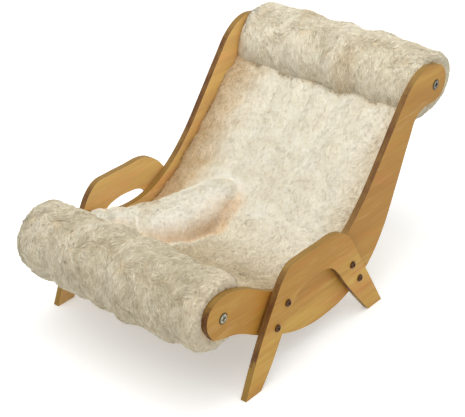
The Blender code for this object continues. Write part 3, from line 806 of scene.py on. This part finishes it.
def pad_rise(places, normals):
    """Puckers down the back, gathers under the top seam, fuller edges, and a crease at the fold's foot."""
    x, y, z = places.T
    upper = smooth_step(normals[:, 2] * 0.8 - normals[:, 1] * 0.6, 0.2, 0.7)
    away, height = about_fold(places)
    off_fold = smooth_step(away, 0.002, 0.030)
    swell = 0.0012 * waves(places, 0.05, 61) + 0.0006 * waves(places, 0.018, 62)
    drift = 1.2 * waves(places * (0.3, 1.0, 1.0), 0.16, 63)
    back_share = smooth_step(z, 0.12, 0.17)
    puckers = 0.0022 * np.sin(2 * math.pi * x / 0.052 + drift) * back_share
    gathers = 0.0012 * np.sin(2 * math.pi * x / 0.021 + 2 * drift) * smooth_step(z, 0.195, 0.24)
    edge = smooth_step(np.abs(x), 0.118, 0.150)
    corner = smooth_step(np.abs(x), 0.105, 0.150) * smooth_step(y, 0.085, 0.165)
    by_seam = smooth_step(y, 0.142, 0.182) * (1 - smooth_step(y, 0.186, 0.200))
    crease = np.exp(-((away - 0.002) / 0.0045) ** 2) * (height < 0.1)
    rise = 0.0040 + swell + (puckers + gathers) * off_fold
    rise = rise + 0.0055 * edge + 0.0060 * corner + 0.0065 * by_seam
    return upper * (rise - 0.0020 * crease)


seat = soft_copy("seat_pad", "seat_cushion", balls(FOLD_POINTS, FOLD_RADII))
puff(seat)
sculpt(seat, pad_rise)
finer(seat)
seat.data.materials.append(GROUND)
seat.data.shade_smooth()
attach(seat, "root")
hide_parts("seat_pad")


def seat_flow(places, normals):
    down = np.zeros_like(places)
    down[:, 2] = -1.0
    down[:, 1] = -0.35
    return down


def seat_keep(places, normals):
    """The upper side and the two long edges."""
    upper = normals[:, 2] * 0.8 - normals[:, 1] * 0.6
    return upper > -0.15


def seat_tone_and_shade(places, normals):
    """Cream with random swells; painted tan and peach shade at the far edge, painted tan shade by the near
    edge, along the top seam, in the seat's hollow and at the fold's foot, and a painted peach shade low on
    the fold's front, which is otherwise painted lighter.
    """
    far_edge = 1 - smooth_step(places[:, 0] + 0.006 * waves(places, 0.03, 73), -0.150, -0.075)
    near_edge = smooth_step(places[:, 0], 0.105, 0.150)
    at_seam = np.exp(-((places[:, 1] - 0.187) / 0.006) ** 2)
    away, height = about_fold(places)
    on_fold = 1 - smooth_step(away - 0.006 * smooth_step(np.abs(places[:, 0]), 0.110, 0.150), 0.006, 0.024)
    front = smooth_step(-normals[:, 1] + 0.4 * normals[:, 0], -0.1, 0.6) * on_fold
    low = 1 - smooth_step(height, 0.40, 1.15)
    foot = np.exp(-((away - 0.010) / 0.005) ** 2) * (height < 0.2)
    off_neck = smooth_step(places[:, 0] + 0.5 * places[:, 1], -0.175, -0.140)
    valley = (1 - smooth_step(places[:, 1], -0.10, 0.03)) * (1 - on_fold) * off_neck
    by_rail = far_edge * (1 - on_fold) * (0.8 + 0.3 * (1 - smooth_step(places[:, 1], 0.06, 0.12)))
    by_rail = by_rail * smooth_step(places[:, 1], -0.10, -0.05)
    # Painted shade: tan by the rails, along the top seam, at the fold's foot and in the seat's hollow, peach
    # by the far rail and low on the fold's front; the fold's front is painted lighter.
    shade = 0.47 * by_rail + 0.20 * near_edge + 0.22 * at_seam + 0.20 * foot
    shade = shade + 0.48 * valley - 0.22 * front
    peach_tone_and_shade = 0.58 * by_rail + 0.08 * near_edge + 0.20 * at_seam + 0.60 * front * low
    peach_tone_and_shade = peach_tone_and_shade + 0.06 * foot + 0.18 * valley
    return 0.57 + 0.04 * waves(places, 0.06, 71) - np.minimum(shade, 0.5), peach_tone_and_shade


toned_and_shaded(seat, seat_tone_and_shade)

for part in range(6):
    fur(f"seat_pile_{part + 1}", seat, PILE_COUNT, 121 + part, seat_keep, seat_flow, seat_tone_and_shade,
        length=0.011, lift=0.34, pull=0.35, clump=0.005, guard=0.03)


def seat_edge_keep(places, normals):
    return seat_keep(places, normals) * smooth_step(np.abs(places[:, 0]), 0.145, 0.151)


fur("seat_fringe", seat, FRINGE_COUNT, 151, seat_edge_keep, outward_flow, seat_tone_and_shade,
    length=0.012, lift=0.45, guard=0.15, clump=0.004)


# Sewn seams

STITCH_PITCH = 0.0085
STITCH_LENGTH = 0.0062
STITCH_RADIUS = 0.0006
SEAM_END = 0.1485


def seam(name, host, place, off, seed):
    """A row of stitches across the host, nearest to place as (y, z), each lying in the pile."""
    rng = np.random.default_rng(seed)
    host_tree = surface_tree(host.data)
    form = bmesh.new()
    for x in np.arange(-SEAM_END, SEAM_END, STITCH_PITCH):
        hit, normal = host_tree.find_nearest(Vector((x, *place)))[:2]
        lean = Matrix.Rotation(rng.normal(0, 0.10), 4, normal)
        size = Matrix.Diagonal((STITCH_LENGTH / 2, STITCH_RADIUS, STITCH_RADIUS, 1.0))
        sunk = off + rng.normal(0, 0.0004)
        at = Matrix.Translation(hit + normal * sunk)
        bmesh.ops.create_uvsphere(form, u_segments=10, v_segments=8, radius=1.0, matrix=at @ lean @ size)
    mesh = bpy.data.meshes.new(name)
    form.to_mesh(mesh)
    form.free()
    mesh.shade_smooth()
    mesh.materials.append(THREAD)
    piece = link(bpy.data.objects.new(name, mesh))
    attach(piece, "root")


seam("top_seam", top_roll, (0.180, 0.258), 0.0048, 161)
seam("front_seam", seat, (-0.188, 0.126), 0.0026, 163)


# Lining

lining = link(bpy.data.objects.new("lining_cloth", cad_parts["seat_lining"].data.copy()))
lining_step = lining.modifiers.new("finer", "SUBSURF")
lining_step.subdivision_type = "SIMPLE"
lining_step.levels = 2
lining_step.render_levels = 2
baked_down(lining)
lining_places, lining_normals = places_of(lining.data), normals_of(lining.data)
is_above = np.sign(lining_normals[:, 2] * 0.8 - lining_normals[:, 1] * 0.6)
slack = 1 - smooth_step(np.abs(lining_places[:, 0]), 0.120, 0.150)
wrinkle = 0.0010 + 0.0008 * waves(lining_places * (1.0, 0.4, 0.4), 0.035, 91)
down_by = (wrinkle * slack * (np.abs(lining_normals[:, 0]) < 0.7))[:, None]
set_places(lining.data, lining_places - lining_normals * is_above[:, None] * down_by)
lining.data.materials.clear()
lining.data.materials.append(LINING)
lining.data.shade_smooth()
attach(lining, "root")
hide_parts("seat_lining")


# Floor, lights and camera

def white_floor():
    tree = Tree("white_floor", 0.9)
    speck = tree.noise(40.0, 2.0, 0.5)
    tree.colour(tree.mix(speck, srgb(244, 244, 243), srgb(247, 247, 246)))
    path = tree.nodes.new("ShaderNodeLightPath")
    bounced = tree.math("MAXIMUM", path.outputs["Is Glossy Ray"], path.outputs["Is Transmission Ray"])
    seen = tree.math("MAXIMUM", path.outputs["Is Camera Ray"], bounced)
    tree.shader.inputs["Emission Color"].default_value = (1, 1, 1, 1)
    tree.put(tree.math("MULTIPLY", seen, 0.3), tree.shader.inputs["Emission Strength"])
    return tree.material


bpy.ops.mesh.primitive_plane_add(size=16.0, location=(0.0, 0.0, -0.0002))
floor = bpy.context.object
floor.name = "floor"
floor.data.materials.append(white_floor())

world = bpy.data.worlds.new("studio")
bpy.context.scene.world = world
world.use_nodes = True
world_nodes = world.node_tree.nodes
world_links = world.node_tree.links
background = world_nodes["Background"]
background.inputs["Color"].default_value = (1, 1, 1, 1)
world_path = world_nodes.new("ShaderNodeLightPath")
world_seen = world_nodes.new("ShaderNodeMath")
world_seen.operation = "MAXIMUM"
world_links.new(world_path.outputs["Is Camera Ray"], world_seen.inputs[0])
world_links.new(world_path.outputs["Is Glossy Ray"], world_seen.inputs[1])
world_level = world_nodes.new("ShaderNodeMapRange")
world_level.inputs["To Min"].default_value = WORLD_LEVEL
world_level.inputs["To Max"].default_value = 1.0
world_links.new(world_seen.outputs[0], world_level.inputs["Value"])
world_links.new(world_level.outputs[0], background.inputs["Strength"])


# A soft far lamp whose light travels along the given direction
KEY_WAY = (-0.12, 0.45, -1.0)
key_data = bpy.data.lights.new("key", "SUN")
key_data.energy = 0.85
key_data.angle = math.radians(50)
key = link(bpy.data.objects.new("key", key_data))
key.rotation_mode = "QUATERNION"
key.rotation_quaternion = Vector(KEY_WAY).to_track_quat("-Z", "Y")

box_data = bpy.data.lights.new("overhead", "AREA")
box_data.shape = "SQUARE"
box_data.size = 0.7
box_data.energy = 3.0
box = link(bpy.data.objects.new("overhead", box_data))
box.location = (0.10, -0.08, 1.15)

camera_data = bpy.data.cameras.new("view")
camera_data.lens = CAMERA_LENS
camera_data.sensor_width = 36.0
camera_data.clip_start = 0.05
camera_data.clip_end = 50.0
camera = link(bpy.data.objects.new("view", camera_data))
camera.location = CAMERA_PLACE
back = Vector((
    math.sin(CAMERA_AZIMUTH) * math.cos(CAMERA_ELEVATION),
    -math.cos(CAMERA_AZIMUTH) * math.cos(CAMERA_ELEVATION),
    math.sin(CAMERA_ELEVATION),
))
camera.rotation_mode = "QUATERNION"
camera.rotation_quaternion = (-back).to_track_quat("-Z", "Y")
bpy.context.scene.camera = camera
bpy.context.scene.view_settings.view_transform = "Standard"
